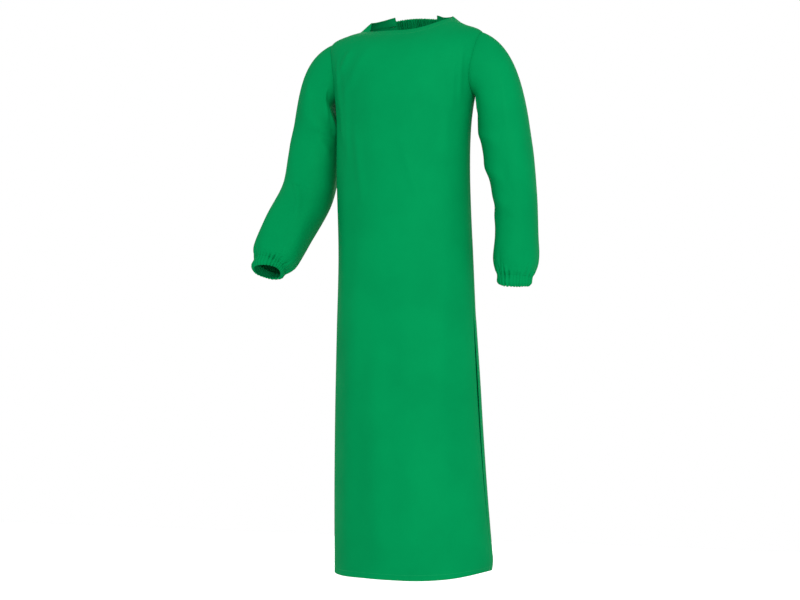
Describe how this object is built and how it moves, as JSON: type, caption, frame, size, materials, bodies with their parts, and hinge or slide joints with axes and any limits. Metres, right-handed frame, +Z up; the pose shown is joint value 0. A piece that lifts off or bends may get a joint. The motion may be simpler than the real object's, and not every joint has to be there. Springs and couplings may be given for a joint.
{
  "type": "patient gown",
  "caption": "Long coated-fabric protective gown, back opening, with long set-in sleeves, elastic cuffs and an elastic neck strap.",
  "frame": {"origin": "neck base on the shoulder line, where the wearer's shoulders or a hanger carry the gown", "axes": "+Z up the wearer, the wearer faces -Y, the wearer's left is +X"},
  "size_m": [0.658, 0.2872, 1.2735],
  "materials": {
    "coated_fabric": "matte",
    "elastic_tape": "matte",
    "stud_metal": "satin"
  },
  "bodies": {
    "root": {"front_panel": "coated_fabric", "back_side_left": "coated_fabric", "back_side_right": "coated_fabric", "back_fold_left": "coated_fabric", "back_fold_right": "coated_fabric", "hem_band_front": "coated_fabric", "neck_facing": "coated_fabric", "sleeve_head_left": "coated_fabric", "sleeve_head_right": "coated_fabric"},
    "sleeve_left": {"sleeve_upper_left": "coated_fabric", "sleeve_elbow_left": "coated_fabric"},
    "forearm_left": {"sleeve_lower_left": "coated_fabric", "cuff_casing_left": "coated_fabric", "cuff_elastic_left": "elastic_tape"},
    "sleeve_right": {"sleeve_upper_right": "coated_fabric", "sleeve_elbow_right": "coated_fabric"},
    "forearm_right": {"sleeve_lower_right": "coated_fabric", "cuff_casing_right": "coated_fabric", "cuff_elastic_right": "elastic_tape"},
    "flap_left": {"back_flap_left": "coated_fabric", "flap_facing_left": "coated_fabric", "hem_band_flap_left": "coated_fabric", "neck_strap_casing": "coated_fabric", "neck_strap_elastic": "elastic_tape", "stud_cap_4": "stud_metal", "stud_socket_4": "stud_metal", "stud_ball_1": "stud_metal", "stud_post_1": "stud_metal", "stud_ball_2": "stud_metal", "stud_post_2": "stud_metal", "stud_ball_3": "stud_metal", "stud_post_3": "stud_metal"},
    "flap_right": {"back_flap_right": "coated_fabric", "flap_facing_right": "coated_fabric", "hem_band_flap_right": "coated_fabric", "stud_ball_4": "stud_metal", "stud_post_4": "stud_metal", "stud_cap_1": "stud_metal", "stud_socket_1": "stud_metal", "stud_cap_2": "stud_metal", "stud_socket_2": "stud_metal", "stud_cap_3": "stud_metal", "stud_socket_3": "stud_metal"}
  },
  "joints": [
    {"name": "left_shoulder", "type": "hinge", "parent": "root", "child": "sleeve_left", "pos_m": [0.176, -0.02, -0.085], "axis": [0, -1, 0], "range_deg": [-4, 50], "deforming": ["sleeve_head_left"]},
    {"name": "right_shoulder", "type": "hinge", "parent": "root", "child": "sleeve_right", "pos_m": [-0.176, -0.02, -0.085], "axis": [0, 1, 0], "range_deg": [0, 50], "deforming": ["sleeve_head_right"]},
    {"name": "left_elbow", "type": "hinge", "parent": "sleeve_left", "child": "forearm_left", "pos_m": [0.253, 0, -0.415], "axis": [-1, 0, 0], "range_deg": [-5, 75], "deforming": ["sleeve_elbow_left"]},
    {"name": "right_elbow", "type": "hinge", "parent": "sleeve_right", "child": "forearm_right", "pos_m": [-0.253, 0.006, -0.396], "axis": [-0.9574, 0.203, 0.2055], "range_deg": [-25, 50], "deforming": ["sleeve_elbow_right"]},
    {"name": "right_flap_swing", "type": "hinge", "parent": "root", "child": "flap_right", "pos_m": [-0.075, 0.066, 0], "axis": [0, -0.0553, 0.9985], "range_deg": [0, 60], "deforming": ["back_fold_right"]},
    {"name": "left_flap_swing", "type": "hinge", "parent": "root", "child": "flap_left", "pos_m": [0.075, 0.066, 0], "axis": [0, 0.0553, -0.9985], "range_deg": [0, 30], "deforming": ["back_fold_left"]}
  ],
  "couplings": [
    {"joint": "left_flap_swing", "follows": "right_flap_swing", "ratio": 0.5}
  ]
}
